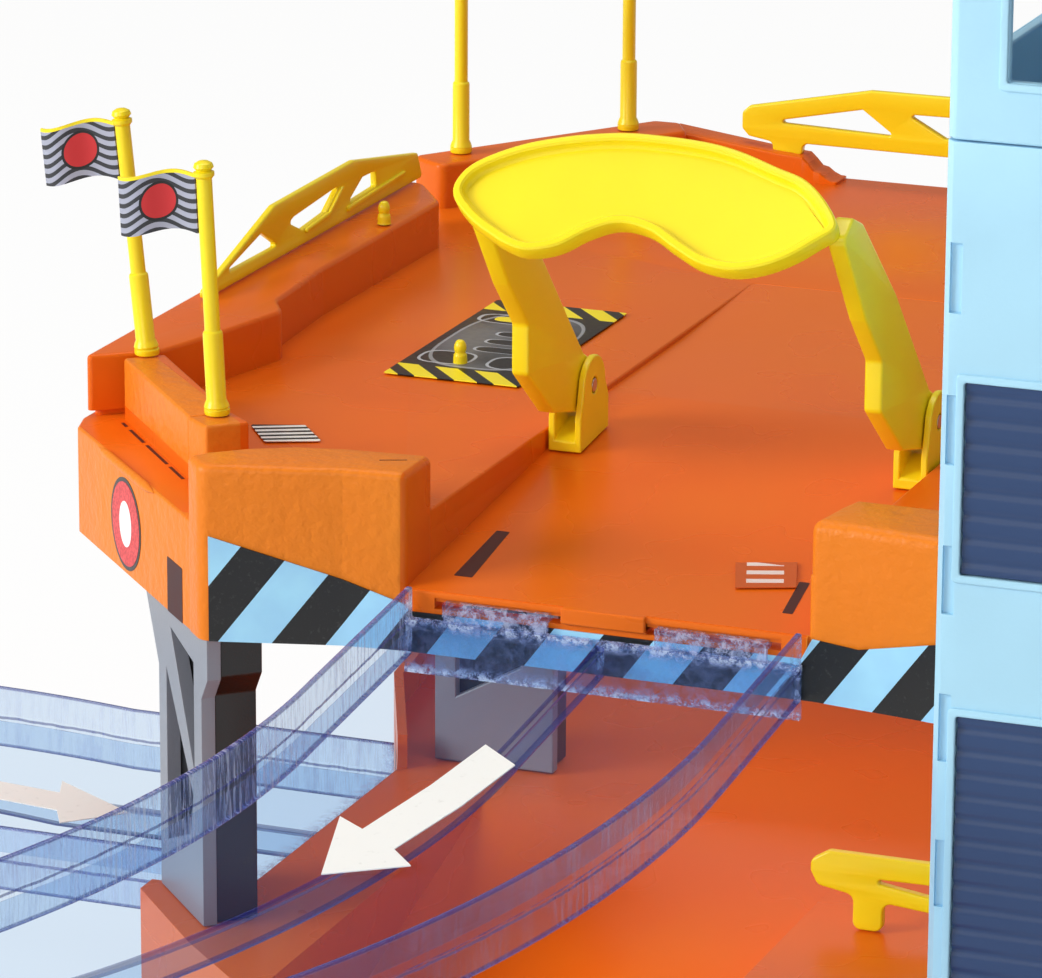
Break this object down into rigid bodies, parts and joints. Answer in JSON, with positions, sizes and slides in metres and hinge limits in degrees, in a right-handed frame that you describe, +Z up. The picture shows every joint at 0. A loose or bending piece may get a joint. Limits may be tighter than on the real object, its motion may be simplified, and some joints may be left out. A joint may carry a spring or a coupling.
{
  "type": "toy garage",
  "caption": "Two-deck toy car garage with a crank lift tower, a curved translucent ramp leading down to the lower deck and a tilting gate over the upper exit.",
  "frame": {"origin": "on the ground under the middle of the overall box", "axes": "+Z up, +Y from the exit lip towards the back of the garage, +X to the right towards the lift tower"},
  "size_m": [0.4966, 0.5938, 0.2613],
  "materials": {
    "orange": "moulded orange plastic with a fine leathery grain",
    "yellow": "glossy moulded yellow plastic",
    "tower_blue": "satin light blue plastic",
    "dark_blue": "satin dark blue plastic",
    "ramp_blue": "clear blue-violet plastic with frosted edges",
    "light_grey": "satin light grey plastic",
    "black": "satin black plastic",
    "label": "printed film, blue with black slanted stripes",
    "label_dark": "printed film, dark with yellow bands",
    "label_white": "printed film, white",
    "flag_grey": "soft grey plastic with dark waves",
    "steel": "bare steel pins"
  },
  "bodies": {
    "frame": {"lower_deck": "orange", "upper_deck": "orange", "pillar_front_frame": "light_grey", "pillar_front_core": "black", "pillar_middle_frame": "light_grey", "pillar_middle_core": "black", "pillar_back_left_frame": "light_grey", "pillar_back_left_core": "black", "pillar_back_right_frame": "light_grey", "pillar_back_right_core": "black", "lift_tower_body": "tower_blue", "lift_tower_head": "tower_blue", "lift_tower_roof": "dark_blue", "tower_panel_low": "dark_blue", "tower_panel_high": "dark_blue", "gate_bracket_left": "yellow", "gate_bracket_right": "yellow", "ramp_upper": "ramp_blue", "ramp_lower": "ramp_blue", "ramp_post_left": "light_grey", "ramp_post_right": "light_grey", "flag_pole_1": "yellow", "flag_pole_2": "yellow", "flag_pole_3": "yellow", "flag_pole_4": "yellow", "flag_1": "flag_grey", "flag_2": "flag_grey", "flag_3": "flag_grey", "flag_4": "flag_grey", "railing_left": "yellow", "railing_back": "yellow", "railing_lower": "yellow", "stop_peg_pad": "yellow", "stop_peg_wall": "yellow", "label_fascia": "label", "label_pad": "label_dark", "label_stripes": "label_white", "label_exit": "label_dark", "label_arrow_upper": "label_white", "label_arrow_lower": "label_white"},
    "gate": {"exit_gate": "yellow", "gate_pin_left": "steel", "gate_pin_right": "steel"},
    "cabin": {"lift_cabin": "light_grey", "lift_rack": "black"},
    "crank": {"crank_shaft": "black", "crank_knob": "yellow", "crank_grip": "yellow"}
  },
  "joints": [
    {"name": "gate_tilt", "type": "hinge", "parent": "frame", "child": "gate", "pos_m": [0.0903, 0.0593, 0.1293], "axis": [1, 0, 0], "range_deg": [-50, 30]},
    {"name": "crank_turn", "type": "hinge", "parent": "frame", "child": "crank", "pos_m": [0.2273, 0.0159, 0.132], "axis": [1, 0, 0], "range_deg": [0, 520.3]},
    {"name": "cabin_lift", "type": "slide", "parent": "frame", "child": "cabin", "axis": [0, 0, 1], "range_m": [0, 0.0908]}
  ],
  "couplings": [
    {"joint": "crank_turn", "follows": "cabin_lift", "rad_per_m": 100}
  ]
}
